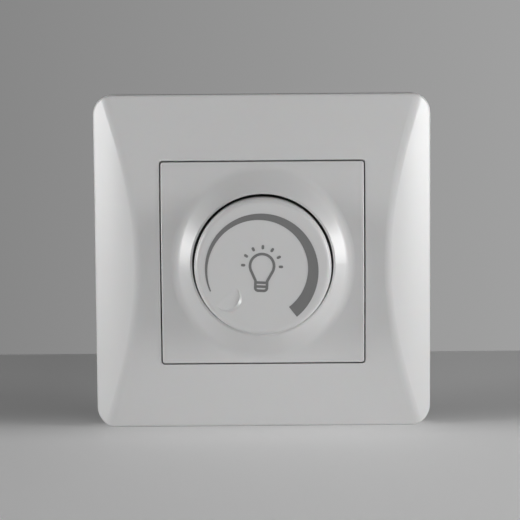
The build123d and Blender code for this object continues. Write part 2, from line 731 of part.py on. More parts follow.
def make_washers():
    """Toothed lock washer behind the bush nut and plain washer in the knob well."""
    with BuildPart() as lock_washer:
        with BuildSketch(wall.offset(SUPPORT_THICKNESS)):
            Circle(LOCK_WASHER_RADIUS)
            Circle(BUSH_RADIUS + WASHER_PLAY, mode=Mode.SUBTRACT)
            with PolarLocations(LOCK_WASHER_RADIUS, LOCK_WASHER_TEETH):
                Rectangle(LOCK_WASHER_GAP_DEPTH, LOCK_WASHER_GAP_WIDTH, mode=Mode.SUBTRACT)
        extrude(amount=LOCK_WASHER_THICKNESS)
    save(lock_washer, "bush_lock_washer")
    with BuildPart() as plain_washer:
        with BuildSketch(wall.offset(WELL_FLOOR_FRONT)):
            Circle(PLATE_WASHER_RADIUS)
            Circle(BUSH_RADIUS + WASHER_PLAY, mode=Mode.SUBTRACT)
        extrude(amount=PLATE_WASHER_THICKNESS)
    save(plain_washer, "centre_plate_washer")


def make_support_plate():
    """Steel plate that carries everything and screws to the wall box."""
    with BuildPart() as plate:
        with BuildSketch(wall):
            RectangleRounded(SUPPORT_SIDE, SUPPORT_SIDE, SUPPORT_CORNER)
            Circle(BUSH_RADIUS + SUPPORT_HOLE_PLAY, mode=Mode.SUBTRACT)
            with Locations((0, -BOX_SCREW_SPACING / 2), (0, BOX_SCREW_SPACING / 2)):
                SlotOverall(BOX_SLOT_LENGTH, BOX_SLOT_WIDTH, rotation=90, mode=Mode.SUBTRACT)
            with Locations((-CLAW_SCREW_X, 0), (CLAW_SCREW_X, 0)):
                Circle(CLAW_SCREW_RADIUS + RUNNING_CLEARANCE, mode=Mode.SUBTRACT)
            with GridLocations(BOSS_SPACING, BOSS_SPACING, 2, 2):
                Circle(HOUSING_SCREW_RADIUS, mode=Mode.SUBTRACT)
            with Locations((TRIAC_HOLE_X, TRIAC_Z)):
                Circle(TRIAC_SCREW_RADIUS, mode=Mode.SUBTRACT)
        extrude(amount=SUPPORT_THICKNESS)
        chamfer(plate.faces().sort_by(Axis.Y)[0].outer_wire().edges(), SUPPORT_CHAMFER)
        ear_z = EAR_INNER_Z + EAR_THICKNESS / 2
        for side in (-1, 1):
            for end in (-1, 1):
                with Locations((side * PIVOT_X, EAR_REACH / 2, end * ear_z)):
                    Box(EAR_WIDTH, EAR_REACH, EAR_THICKNESS)
                with Locations(Location((side * PIVOT_X, PIVOT_REAR, end * ear_z))):
                    Cylinder(PIVOT_PIN_RADIUS, EAR_THICKNESS, mode=Mode.SUBTRACT)
    save(plate, "support_plate")


def make_potentiometer():
    """Pressed can, resistance track on its carrier, and three solder tags."""
    with BuildPart() as can:
        with BuildSketch(wall.offset(-CAN_REAR)):
            Circle(CAN_RADIUS)
        extrude(amount=CAN_REAR)
        with BuildSketch(wall.offset(-CAN_REAR)):
            Circle(CAN_RADIUS - CAN_WALL)
        extrude(amount=CAN_REAR - CAN_WALL, mode=Mode.SUBTRACT)
        with BuildSketch(wall.offset(-CAN_REAR)):
            Circle(BUSH_RADIUS)
        extrude(amount=CAN_REAR, mode=Mode.SUBTRACT)
        with Locations((0, (TRACK_FRONT + CAN_REAR) / 2, CAN_NOTCH_Z)):
            Box(CAN_NOTCH_WIDTH, CAN_REAR - TRACK_FRONT, CAN_NOTCH_HEIGHT, mode=Mode.SUBTRACT)
    save(can, "potentiometer_can")
    with BuildPart() as carrier:
        with BuildSketch(wall.offset(-TRACK_FRONT - TRACK_THICKNESS)):
            Circle(CAN_RADIUS - CAN_WALL - CARRIER_PLAY)
            with Locations((0, CARRIER_TONGUE_Z)):
                Rectangle(CARRIER_TONGUE_WIDTH, CARRIER_TONGUE_HEIGHT)
            Circle(SPINDLE_FREE_RADIUS, mode=Mode.SUBTRACT)
        extrude(amount=TRACK_THICKNESS)
    save(carrier, "resistance_track")
    tag_front = TRACK_FRONT + TRACK_THICKNESS
    leg_length = BOARD_REAR + LEG_STICK_OUT - tag_front
    with BuildPart() as tags:
        with GridLocations(TAG_PITCH, 1, TAG_COUNT, 1):
            with Locations((0, tag_front + TAG_THICKNESS / 2, TAG_END_Z + TAG_LENGTH / 2)):
                Box(TAG_WIDTH, TAG_THICKNESS, TAG_LENGTH)
            with Locations((0, tag_front + leg_length / 2, TAG_LEG_Z)):
                Box(TAG_WIDTH, leg_length, TAG_THICKNESS)
    save(tags, "potentiometer_tags")


def make_switch_housing():
    """Moulded cup behind the can that holds the mains switch, and its two contact strips."""
    with BuildPart() as cup:
        with BuildSketch(wall.offset(-SWITCH_REAR)):
            Circle(CAN_RADIUS)
        extrude(amount=SWITCH_REAR - CAN_REAR)
        with BuildSketch(wall.offset(-SWITCH_REAR + SWITCH_WALL)):
            Circle(CAN_RADIUS - SWITCH_CUP_WALL)
        extrude(amount=SWITCH_REAR - CAN_REAR - 2 * SWITCH_WALL, mode=Mode.SUBTRACT)
        with BuildSketch(wall.offset(-CAN_REAR - SWITCH_WALL)):
            Circle(SPINDLE_FREE_RADIUS)
        extrude(amount=SWITCH_WALL, mode=Mode.SUBTRACT)
        for side in (-1, 1):
            with Locations((side * (CAN_RADIUS - SWITCH_CUP_WALL / 2), CONTACT_REAR, 0)):
                Box(CONTACT_SLOT_LENGTH, CONTACT_THICKNESS, CONTACT_HEIGHT, mode=Mode.SUBTRACT)
    save(cup, "switch_housing")
    leg_end = BOARD_REAR + LEG_STICK_OUT
    with BuildPart() as contacts:
        for side in (-1, 1):
            with Locations((side * (CONTACT_INNER_X + CONTACT_OUTER_X) / 2, CONTACT_REAR, 0)):
                Box(CONTACT_OUTER_X - CONTACT_INNER_X, CONTACT_THICKNESS, CONTACT_HEIGHT)
            with Locations((side * CONTACT_LEG_X, (ROTOR_FRONT + leg_end) / 2, 0)):
                Box(CONTACT_LEG_THICKNESS, leg_end - ROTOR_FRONT, CONTACT_LEG_WIDTH)
    save(contacts, "switch_contacts")


def claw_side(side, name):
    """Spreading claw, its screw and its wedge nut on one side of the box."""
    nut_edge = CLAW_SCREW_X + SPREADER_WIDTH / 2
    with BuildPart() as claw:
        with BuildSketch(Plane.XY.offset(-CLAW_HALF_HEIGHT)):
            with BuildLine():
                Polyline(*[(nut_edge + outward, rear) for outward, rear in CLAW_OUTLINE], close=True)
            make_face()
            with Locations((PIVOT_X, PIVOT_REAR)):
                Circle(KNUCKLE_RADIUS)
                Circle(PIVOT_PIN_RADIUS + RUNNING_CLEARANCE, mode=Mode.SUBTRACT)
            if side < 0:
                mirror(about=Plane.YZ, mode=Mode.REPLACE)
        extrude(amount=2 * CLAW_HALF_HEIGHT)
        with Locations((side * CLAW_SCREW_X, CLAW_SLOT_MIDDLE, 0)):
            Box(2 * SPREADER_WIDTH, CLAW_SLOT_LENGTH, CLAW_SLOT_WIDTH, mode=Mode.SUBTRACT)
    save(claw, "claw_" + name)
    with BuildPart() as screw:
        with BuildSketch(wall.offset(-CLAW_SCREW_END)):
            with Locations((side * CLAW_SCREW_X, 0)):
                Circle(CLAW_SCREW_RADIUS)
        extrude(amount=CLAW_SCREW_END + SUPPORT_THICKNESS + RUNNING_CLEARANCE)
        with BuildSketch(wall.offset(SUPPORT_THICKNESS + RUNNING_CLEARANCE)):
            with Locations((side * CLAW_SCREW_X, 0)):
                Circle(CLAW_SCREW_HEAD_RADIUS)
        extrude(amount=CLAW_SCREW_HEAD_HEIGHT)
        fillet(screw.faces().sort_by(Axis.Y)[0].edges(), CLAW_SCREW_HEAD_ROUNDING)
        with Locations((side * CLAW_SCREW_X, -SUPPORT_THICKNESS - CLAW_SCREW_HEAD_HEIGHT, 0)):
            Box(
                2 * CLAW_SCREW_HEAD_RADIUS,
                2 * CLAW_SCREW_DRIVE_DEPTH,
                CLAW_SCREW_DRIVE_WIDTH,
                mode=Mode.SUBTRACT,
            )
    save(screw, "claw_screw_" + name)
    with BuildPart() as nut:
        with Locations((side * CLAW_SCREW_X, SPREADER_REST_REAR, 0)):
            Box(SPREADER_WIDTH, SPREADER_THICKNESS, SPREADER_HEIGHT)
        fillet(nut.edges().filter_by(Axis.Z), SPREADER_ROUNDING)
        with BuildSketch(wall.offset(-SPREADER_REST_REAR - SPREADER_THICKNESS)):
            with Locations((side * CLAW_SCREW_X, 0)):
                Circle(CLAW_SCREW_RADIUS + RUNNING_CLEARANCE)
        extrude(amount=2 * SPREADER_THICKNESS, mode=Mode.SUBTRACT)
    save(nut, "spreader_nut_" + name)


def make_claw_pins():
    """Two riveted pins that the claws swing on."""
    ear_outer_z = EAR_INNER_Z + EAR_THICKNESS
    with BuildPart() as pins:
        for side in (-1, 1):
            with Locations((side * PIVOT_X, PIVOT_REAR, 0)):
                Cylinder(PIVOT_PIN_RADIUS, 2 * ear_outer_z)
            for end in (-1, 1):
                with Locations((side * PIVOT_X, PIVOT_REAR, end * (ear_outer_z + PIN_HEAD_THICKNESS / 2))):
                    Cylinder(PIVOT_PIN_RADIUS + PIN_HEAD_OVERHANG, PIN_HEAD_THICKNESS)
    save(pins, "claw_pins")


def make_module_housing():
    """Deep plastic cup behind the support plate, with vents, bosses and a terminal notch."""
    inner_rear = HOUSING_REAR - HOUSING_WALL
    with BuildPart() as cup:
        with BuildSketch(wall.offset(-HOUSING_REAR)):
            RectangleRounded(2 * HOUSING_HALF_WIDTH, 2 * HOUSING_HALF_HEIGHT, HOUSING_CORNER)
        extrude(amount=HOUSING_REAR)
        fillet(cup.faces().sort_by(Axis.Y)[-1].edges(), HOUSING_EDGE_ROUNDING)
        with BuildSketch(wall.offset(-inner_rear)):
            RectangleRounded(
                2 * (HOUSING_HALF_WIDTH - HOUSING_WALL),
                2 * (HOUSING_HALF_HEIGHT - HOUSING_WALL),
                HOUSING_CORNER - HOUSING_WALL,
            )
        extrude(amount=inner_rear, mode=Mode.SUBTRACT)
        with BuildSketch(wall.offset(-BOARD_FRONT)):
            with GridLocations(BOSS_SPACING, BOSS_SPACING, 2, 2):
                Circle(BOSS_RADIUS)
        extrude(amount=BOARD_FRONT)
        with BuildSketch(wall.offset(-BOARD_FRONT)):
            with GridLocations(BOSS_SPACING + BOSS_WEB, BOSS_SPACING + BOSS_WEB, 2, 2):
                Rectangle(BOSS_WEB, BOSS_WEB)
        extrude(amount=BOARD_FRONT)
        with BuildSketch(wall):
            RectangleRounded(2 * HOUSING_HALF_WIDTH, 2 * HOUSING_HALF_HEIGHT, HOUSING_CORNER)
        extrude(amount=-HOUSING_REAR, mode=Mode.INTERSECT)
        with BuildSketch(wall.offset(-HOUSING_SCREW_LENGTH)):
            with GridLocations(BOSS_SPACING, BOSS_SPACING, 2, 2):
                Circle(HOUSING_SCREW_RADIUS)
        extrude(amount=HOUSING_SCREW_LENGTH, mode=Mode.SUBTRACT)
        notch_depth = HOUSING_REAR + CUT_OVERRUN - BLOCK_FRONT
        notch_height = HOUSING_HALF_HEIGHT + BLOCK_TOP_Z + CUT_OVERRUN
        with Locations((0, BLOCK_FRONT + notch_depth / 2, BLOCK_TOP_Z - notch_height / 2)):
            Box(2 * BLOCK_HALF_WIDTH, notch_depth, notch_height, mode=Mode.SUBTRACT)
        with BuildSketch(wall.offset(-HOUSING_REAR)):
            with Locations((0, REAR_VENT_Z)):
                with GridLocations(VENT_PITCH, 1, VENT_COUNT, 1):
                    SlotOverall(VENT_LENGTH, VENT_WIDTH, rotation=90)
        extrude(amount=HOUSING_WALL, mode=Mode.SUBTRACT)
        with BuildSketch(Plane.XY.offset(HOUSING_HALF_HEIGHT - HOUSING_WALL)):
            with Locations((0, TOP_VENT_REAR)):
                with GridLocations(VENT_PITCH, 1, VENT_COUNT, 1):
                    SlotOverall(VENT_LENGTH, VENT_WIDTH, rotation=90)
        extrude(amount=HOUSING_WALL, mode=Mode.SUBTRACT)
    save(cup, "module_housing")
    with BuildPart() as screws:
        with BuildSketch(wall.offset(-HOUSING_SCREW_LENGTH)):
            with GridLocations(BOSS_SPACING, BOSS_SPACING, 2, 2):
                Circle(HOUSING_SCREW_RADIUS)
        extrude(amount=HOUSING_SCREW_LENGTH + SUPPORT_THICKNESS)
        with BuildSketch(wall.offset(SUPPORT_THICKNESS)):
            with GridLocations(BOSS_SPACING, BOSS_SPACING, 2, 2):
                Circle(HOUSING_SCREW_HEAD_RADIUS)
        extrude(amount=HOUSING_SCREW_HEAD_HEIGHT)
        head_top = SUPPORT_THICKNESS + HOUSING_SCREW_HEAD_HEIGHT
        with BuildSketch(wall.offset(head_top - HOUSING_SCREW_DRIVE_DEPTH)):
            with GridLocations(BOSS_SPACING, BOSS_SPACING, 2, 2):
                Rectangle(HOUSING_SCREW_DRIVE_LENGTH, HOUSING_SCREW_DRIVE_WIDTH)
                Rectangle(HOUSING_SCREW_DRIVE_WIDTH, HOUSING_SCREW_DRIVE_LENGTH)
        extrude(amount=HOUSING_SCREW_DRIVE_DEPTH, mode=Mode.SUBTRACT)
    save(screws, "housing_screws")


def make_circuit_board():
    """Board that closes the component bay, held between the bosses and the block."""
    with BuildPart() as board:
        with BuildSketch(wall.offset(-BOARD_REAR)):
            RectangleRounded(BOARD_WIDTH, BOARD_HEIGHT, HOUSING_CORNER - HOUSING_WALL)
            with Locations((0, TAG_LEG_Z)):
                with GridLocations(TAG_PITCH, 1, TAG_COUNT, 1):
                    Rectangle(TAG_WIDTH + SLOT_PLAY, TAG_THICKNESS + SLOT_PLAY, mode=Mode.SUBTRACT)
            with GridLocations(2 * CONTACT_LEG_X, 1, 2, 1):
                Rectangle(
                    CONTACT_LEG_THICKNESS + SLOT_PLAY,
                    CONTACT_LEG_WIDTH + SLOT_PLAY,
                    mode=Mode.SUBTRACT,
                )
            with Locations((TRIAC_LEAD_X, TRIAC_Z)):
                with GridLocations(TRIAC_LEAD_PITCH, 1, TRIAC_LEAD_COUNT, 1):
                    Circle(TRIAC_LEAD_HOLE_RADIUS, mode=Mode.SUBTRACT)
        extrude(amount=BOARD_THICKNESS)
    save(board, "circuit_board")


def make_triac():
    """Power switch bolted flat against the steel plate, which is its heat sink."""
    tab_rear = INSULATOR_THICKNESS + TRIAC_TAB_THICKNESS
    middle_lead = (TRIAC_LEAD_COUNT - 1) / 2
    with BuildPart() as triac:
        with Locations((TRIAC_TAB_X, INSULATOR_THICKNESS + TRIAC_TAB_THICKNESS / 2, TRIAC_Z)):
            Box(TRIAC_TAB_LENGTH, TRIAC_TAB_THICKNESS, TRIAC_HEIGHT)
        with Locations((TRIAC_BODY_X, INSULATOR_THICKNESS + TRIAC_BODY_THICKNESS / 2, TRIAC_Z)):
            Box(TRIAC_BODY_LENGTH, TRIAC_BODY_THICKNESS, TRIAC_HEIGHT)
        for lead in range(TRIAC_LEAD_COUNT):
            lead_x = TRIAC_LEAD_X + (lead - middle_lead) * TRIAC_LEAD_PITCH
            front = INSULATOR_THICKNESS + TRIAC_LEAD_FRONT + (lead - middle_lead) * TRIAC_LEAD_STEP
            run = lead_x - TRIAC_LEAD_START_X + TRIAC_LEAD_WIDTH
            drop = BOARD_REAR + LEG_STICK_OUT - front
            with Locations(((TRIAC_LEAD_START_X + lead_x) / 2, front, TRIAC_Z)):
                Box(run, TRIAC_LEAD_THICKNESS, TRIAC_LEAD_WIDTH)
            with Locations((lead_x, front + drop / 2, TRIAC_Z)):
                Box(TRIAC_LEAD_WIDTH, drop, TRIAC_LEAD_WIDTH)
        with BuildSketch(wall.offset(-tab_rear)):
            with Locations((TRIAC_HOLE_X, TRIAC_Z)):
                Circle(TRIAC_HOLE_RADIUS)
        extrude(amount=TRIAC_TAB_THICKNESS, mode=Mode.SUBTRACT)
    save(triac, "triac")
    with BuildPart() as insulator:
        with Locations((INSULATOR_X, INSULATOR_THICKNESS / 2, TRIAC_Z)):
            Box(INSULATOR_LENGTH, INSULATOR_THICKNESS, TRIAC_HEIGHT + INSULATOR_MARGIN)
        with BuildSketch(wall.offset(-INSULATOR_THICKNESS)):
            with Locations((TRIAC_HOLE_X, TRIAC_Z)):
                Circle(TRIAC_HOLE_RADIUS)
        extrude(amount=INSULATOR_THICKNESS, mode=Mode.SUBTRACT)
    save(insulator, "triac_insulator")
    with BuildPart() as screw:
        with BuildSketch(wall.offset(-tab_rear - TRIAC_SCREW_END)):
            with Locations((TRIAC_HOLE_X, TRIAC_Z)):
                Circle(TRIAC_SCREW_RADIUS)
        extrude(amount=tab_rear + TRIAC_SCREW_END + SUPPORT_THICKNESS)
        with BuildSketch(wall.offset(SUPPORT_THICKNESS)):
            with Locations((TRIAC_HOLE_X, TRIAC_Z)):
                Circle(TRIAC_SCREW_HEAD_RADIUS)
        extrude(amount=TRIAC_SCREW_HEAD_HEIGHT)
        with Locations((TRIAC_HOLE_X, -SUPPORT_THICKNESS - TRIAC_SCREW_HEAD_HEIGHT, TRIAC_Z)):
            Box(2 * TRIAC_SCREW_HEAD_RADIUS, 2 * TRIAC_SCREW_DRIVE, TRIAC_SCREW_DRIVE, mode=Mode.SUBTRACT)
    save(screw, "triac_screw")
    with BuildPart() as nut:
        with BuildSketch(wall.offset(-tab_rear - TRIAC_NUT_THICKNESS)):
            with Locations((TRIAC_HOLE_X, TRIAC_Z)):
                RegularPolygon(TRIAC_NUT_CORNER_RADIUS, 6, rotation=30)
                Circle(TRIAC_SCREW_RADIUS, mode=Mode.SUBTRACT)
        extrude(amount=TRIAC_NUT_THICKNESS)
    save(nut, "triac_nut")


def make_fuse():
    """Glass fuse on the front of the board with its end caps and spring clips."""
    cap_x = (FUSE_LENGTH - FUSE_CAP_LENGTH) / 2
    with BuildPart() as glass:
        with Locations(Location((0, FUSE_REAR, FUSE_Z), (0, 90, 0))):
            Cylinder(FUSE_GLASS_RADIUS, FUSE_GLASS_LENGTH)
            Cylinder(FUSE_GLASS_RADIUS - FUSE_GLASS_WALL, FUSE_GLASS_LENGTH, mode=Mode.SUBTRACT)
    save(glass, "fuse_glass")
    with BuildPart() as caps:
        for side in (-1, 1):
            with Locations(Location((side * cap_x, FUSE_REAR, FUSE_Z), (0, 90, 0))):
                Cylinder(FUSE_CAP_RADIUS, FUSE_CAP_LENGTH)
            with Locations(Location((side * (cap_x - FUSE_CAP_END / 2), FUSE_REAR, FUSE_Z), (0, 90, 0))):
                Cylinder(FUSE_GLASS_RADIUS, FUSE_CAP_LENGTH - FUSE_CAP_END, mode=Mode.SUBTRACT)
    save(caps, "fuse_caps")
    clip_length = BOARD_FRONT - FUSE_REAR + FUSE_CLIP_RISE
    leaf_z = FUSE_CAP_RADIUS + FUSE_CLIP_THICKNESS / 2
    with BuildPart() as clips:
        for side in (-1, 1):
            for edge in (-1, 1):
                with Locations((side * cap_x, BOARD_FRONT - clip_length / 2, FUSE_Z + edge * leaf_z)):
                    Box(FUSE_CLIP_WIDTH, clip_length, FUSE_CLIP_THICKNESS)
            with Locations((side * cap_x, BOARD_FRONT - FUSE_CLIP_THICKNESS / 2, FUSE_Z)):
                Box(FUSE_CLIP_WIDTH, FUSE_CLIP_THICKNESS, 2 * leaf_z)
    save(clips, "fuse_clips")


def make_choke():
    """Interference choke: ring core with a single layer of enamelled wire."""
    middle_radius = (CORE_RADIUS + CORE_HOLE_RADIUS) / 2
    ring_width = CORE_RADIUS - CORE_HOLE_RADIUS
    with BuildPart() as core:
        with BuildSketch(wall.offset(-CORE_REAR - CORE_THICKNESS / 2)):
            with Locations((CORE_X, CORE_Z)):
                Circle(CORE_RADIUS)
                Circle(CORE_HOLE_RADIUS, mode=Mode.SUBTRACT)
        extrude(amount=CORE_THICKNESS)
        fillet(core.edges().filter_by(GeomType.CIRCLE), CORE_ROUNDING)
    save(core, "choke_core")
    with BuildPart() as turn:
        with Locations((CORE_X + middle_radius, CORE_REAR, CORE_Z)):
            Box(ring_width + 2 * WIRE_THICKNESS, CORE_THICKNESS + 2 * WIRE_THICKNESS, WIRE_THICKNESS)
            Box(ring_width + WINDING_PLAY, CORE_THICKNESS, WIRE_THICKNESS, mode=Mode.SUBTRACT)
    axis = Axis((CORE_X, 0, CORE_Z), (0, 1, 0))
    turns = [turn.part.rotate(axis, number * 360 / TURN_COUNT) for number in range(TURN_COUNT)]
    with BuildPart() as winding:
        add(turns)
    save(winding, "choke_winding")


def add_axial_part(centre_x, centre_z, lift, radius, length, lead_radius, span):
    """Add to the open part a round body on bent leads that stand on the rear of the board."""
    with Locations(Location((centre_x, BOARD_REAR + lift, centre_z), (0, 90, 0))):
        Cylinder(radius, length)
        Cylinder(lead_radius, span)
    for side in (-1, 1):
        with Locations((centre_x + side * (span / 2 - lead_radius), BOARD_REAR + lift / 2, centre_z)):
            Box(2 * lead_radius, lift, 2 * lead_radius)


def make_small_components():
    """Film capacitors, resistors and trigger diode on the rear of the board."""
    with BuildPart() as capacitors:
        for length, height, thickness, middle_z in CAPACITORS:
            with Locations((CAPACITOR_X, BOARD_REAR + height / 2, middle_z)):
                Box(length, height, thickness)
        fillet(capacitors.edges().filter_by(Axis.Y), CAPACITOR_ROUNDING)
    save(capacitors, "film_capacitors")
    with BuildPart() as resistors:
        for resistor_z in RESISTOR_Z:
            add_axial_part(
                RESISTOR_X,
                resistor_z,
                RESISTOR_LIFT,
                RESISTOR_RADIUS,
                RESISTOR_LENGTH,
                RESISTOR_LEAD_RADIUS,
                RESISTOR_SPAN,
            )
    save(resistors, "carbon_resistors")
    with BuildPart() as diac:
        add_axial_part(DIAC_X, DIAC_Z, DIAC_LIFT, DIAC_RADIUS, DIAC_LENGTH, DIAC_LEAD_RADIUS, DIAC_SPAN)
    save(diac, "diac")


def make_terminals():
    """Block with three rising clamps, entered from below and tightened from behind."""
    block_bottom = -HOUSING_HALF_HEIGHT - BLOCK_OVERHANG
    block_height = BLOCK_TOP_Z - block_bottom
    block_middle_z = (BLOCK_TOP_Z + block_bottom) / 2
    block_depth = HOUSING_REAR - BLOCK_SETBACK - BLOCK_FRONT
    clamp_z = block_bottom + WIRE_HOLE_DEPTH + CLAMP_SIDE / 2 - CLAMP_OVERLAP
    head_rear = TERMINAL_HEAD_FRONT + TERMINAL_HEAD_HEIGHT
    with BuildPart() as block:
        with Locations((0, BLOCK_FRONT + block_depth / 2, block_middle_z)):
            Box(2 * BLOCK_HALF_WIDTH - BLOCK_PLAY, block_depth, block_height)
        chamfer(block.edges().filter_by(Axis.X).sort_by(Axis.Y)[-2:], BLOCK_CHAMFER)
        with BuildSketch(Plane.XY.offset(block_bottom)):
            with Locations((0, WIRE_HOLE_REAR)):
                with GridLocations(TERMINAL_PITCH, 1, TERMINAL_COUNT, 1):
                    Circle(WIRE_HOLE_RADIUS)
        extrude(amount=WIRE_HOLE_DEPTH, mode=Mode.SUBTRACT)
        with GridLocations(TERMINAL_PITCH, 1, TERMINAL_COUNT, 1):
            with Locations((0, WIRE_HOLE_REAR, clamp_z)):
                Box(
                    CLAMP_SIDE + CLAMP_PLAY,
                    CLAMP_LENGTH + 2 * CLAMP_PLAY,
                    CLAMP_SIDE + CLAMP_PLAY,
                    mode=Mode.SUBTRACT,
                )
        with BuildSketch(wall.offset(-HOUSING_REAR)):
            with Locations((0, clamp_z)):
                with GridLocations(TERMINAL_PITCH, 1, TERMINAL_COUNT, 1):
                    Circle(TERMINAL_HEAD_RADIUS + BLOCK_PLAY)
        extrude(amount=HOUSING_REAR - WIRE_HOLE_REAR, mode=Mode.SUBTRACT)
    save(block, "terminal_block")
    with BuildPart() as clamps:
        with GridLocations(TERMINAL_PITCH, 1, TERMINAL_COUNT, 1):
            with Locations((0, WIRE_HOLE_REAR, clamp_z)):
                Box(CLAMP_SIDE, CLAMP_LENGTH, CLAMP_SIDE)
                Box(
                    CLAMP_SIDE - 2 * CLAMP_WALL,
                    CLAMP_LENGTH - 2 * CLAMP_WALL,
                    CLAMP_SIDE,
                    mode=Mode.SUBTRACT,
                )
        with BuildSketch(wall.offset(-HOUSING_REAR)):
            with Locations((0, clamp_z)):
                with GridLocations(TERMINAL_PITCH, 1, TERMINAL_COUNT, 1):
                    Circle(TERMINAL_SCREW_RADIUS)
        extrude(amount=HOUSING_REAR - WIRE_HOLE_REAR, mode=Mode.SUBTRACT)
    save(clamps, "terminal_clamps")
    with BuildPart() as screws:
        with BuildSketch(wall.offset(-TERMINAL_HEAD_FRONT)):
            with Locations((0, clamp_z)):
                with GridLocations(TERMINAL_PITCH, 1, TERMINAL_COUNT, 1):
                    Circle(TERMINAL_SCREW_RADIUS)
        extrude(amount=TERMINAL_HEAD_FRONT - TERMINAL_SCREW_TIP)
        with BuildSketch(wall.offset(-head_rear)):
            with Locations((0, clamp_z)):
                with GridLocations(TERMINAL_PITCH, 1, TERMINAL_COUNT, 1):
                    Circle(TERMINAL_HEAD_RADIUS)
        extrude(amount=TERMINAL_HEAD_HEIGHT)
        with BuildSketch(wall.offset(-head_rear)):
            with Locations((0, clamp_z)):
                with GridLocations(TERMINAL_PITCH, 1, TERMINAL_COUNT, 1):
                    Rectangle(2 * TERMINAL_HEAD_RADIUS, TERMINAL_DRIVE)
        extrude(amount=TERMINAL_DRIVE, mode=Mode.SUBTRACT)
    save(screws, "terminal_screws")


def make_rating_label():
    """Blank label stuck on the rear of the housing."""
    with BuildPart() as label:
        with Locations((0, HOUSING_REAR + LABEL_THICKNESS / 2, LABEL_Z)):
            Box(LABEL_WIDTH, LABEL_THICKNESS, LABEL_HEIGHT)
    save(label, "rating_label")


make_outer_frame()
make_centre_plate()
make_control_knob()
make_level_arc()
make_bulb_symbol()
make_knob_clip()
make_spindle()
make_wiper()
make_switch_rotor()
make_spindle_bush()
make_nut("bush_nut", SUPPORT_THICKNESS + LOCK_WASHER_THICKNESS, BUSH_NUT_THICKNESS)
make_nut("centre_plate_nut", WELL_FLOOR_FRONT + PLATE_WASHER_THICKNESS, PLATE_NUT_THICKNESS)
make_washers()
make_support_plate()
make_potentiometer()
make_switch_housing()
claw_side(-1, "left")
claw_side(1, "right")
make_claw_pins()
make_module_housing()
make_circuit_board()
make_triac()
make_fuse()
make_choke()
make_small_components()
make_terminals()
make_rating_label()
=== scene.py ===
import math

import bpy
from mathutils import Matrix, Vector


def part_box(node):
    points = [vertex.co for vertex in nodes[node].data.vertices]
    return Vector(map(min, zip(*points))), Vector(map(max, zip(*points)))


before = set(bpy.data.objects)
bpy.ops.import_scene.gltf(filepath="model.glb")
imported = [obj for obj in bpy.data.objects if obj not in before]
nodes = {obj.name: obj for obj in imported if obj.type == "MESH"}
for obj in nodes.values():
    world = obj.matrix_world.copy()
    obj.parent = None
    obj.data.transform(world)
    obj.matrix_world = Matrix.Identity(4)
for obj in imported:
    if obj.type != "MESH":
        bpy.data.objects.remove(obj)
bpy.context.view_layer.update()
MM = 0.001

# Sizes are in millimetres.
# Painted shade in the gap round the knob: its colour, soft edge, lip below the well mouth and fade towards
# the bottom.
WELL_SHADE_COLOUR = "#0c0c0c"
WELL_SHADE_EDGE = 0.05
WELL_SHADE_LIP = 0.3
WELL_SHADE_FADE_BOTTOM = -9.0
WELL_SHADE_FADE_TOP = -2.0
WELL_MOUTH = 12.35
# Inner and outer radius of the painted shade ring on the plate and on the knob.
PLATE_WELL_SHADE = (0.1, 17.2)
KNOB_WELL_SHADE = (16.35, 16.5)
MILKINESS = 0.05
MILK_DEPTH = 1.5
THREAD_LEAD = 1.2
THREAD_START = 0.5
THREAD_END_GAP = 0.2
THREAD_HALF_DEPTH = 0.22
RELIEF_DEPTH = 0.02
WEAVE_SIZE = 3.0
WEAVE_DEPTH = 0.03
BAND_SPACING = 0.8
BAND_START = 0.5

# ---------------------------------------------------------------- helpers


def srgb(code):
    """Linear colour from an sRGB hex code."""
    parts = [int(code[i:i + 2], 16) / 255 for i in (1, 3, 5)]
    linear = [c / 12.92 if c <= 0.04045 else ((c + 0.055) / 1.055) ** 2.4 for c in parts]
    return (*linear, 1.0)


def per_mm(size):
    """Pattern scale, in repeats per metre, of a pattern that repeats every size millimetres."""
    return 1 / (size * MM)


def node(tree, kind, links=None, settings=None, values=None, **inputs):
    """Adds one shader node with its settings, its input values and its links."""
    made = tree.nodes.new(kind)
    for key, value in (settings or {}).items():
        setattr(made, key, value)
    for key, value in (values or {}).items():
        made.inputs[key].default_value = value
    for key, value in inputs.items():
        made.inputs[key.replace("_", " ")].default_value = value
    for key, source in (links or {}).items():
        tree.links.new(source, made.inputs[key])
    return made


def finish_of(name, base, roughness, metallic=0.0, **shader_inputs):
    """New material with its shader, and the position on the object for its patterns."""
    material = bpy.data.materials.new(name)
    material.use_nodes = True
    tree = material.node_tree
    tree.nodes.clear()
    shader = node(tree, "ShaderNodeBsdfPrincipled", Base_Color=srgb(base), Roughness=roughness,
                  Metallic=metallic, **shader_inputs)
    node(tree, "ShaderNodeOutputMaterial", {"Surface": shader.outputs["BSDF"]})
    place = node(tree, "ShaderNodeTexCoord")
    return material, tree, shader, place.outputs["Object"]


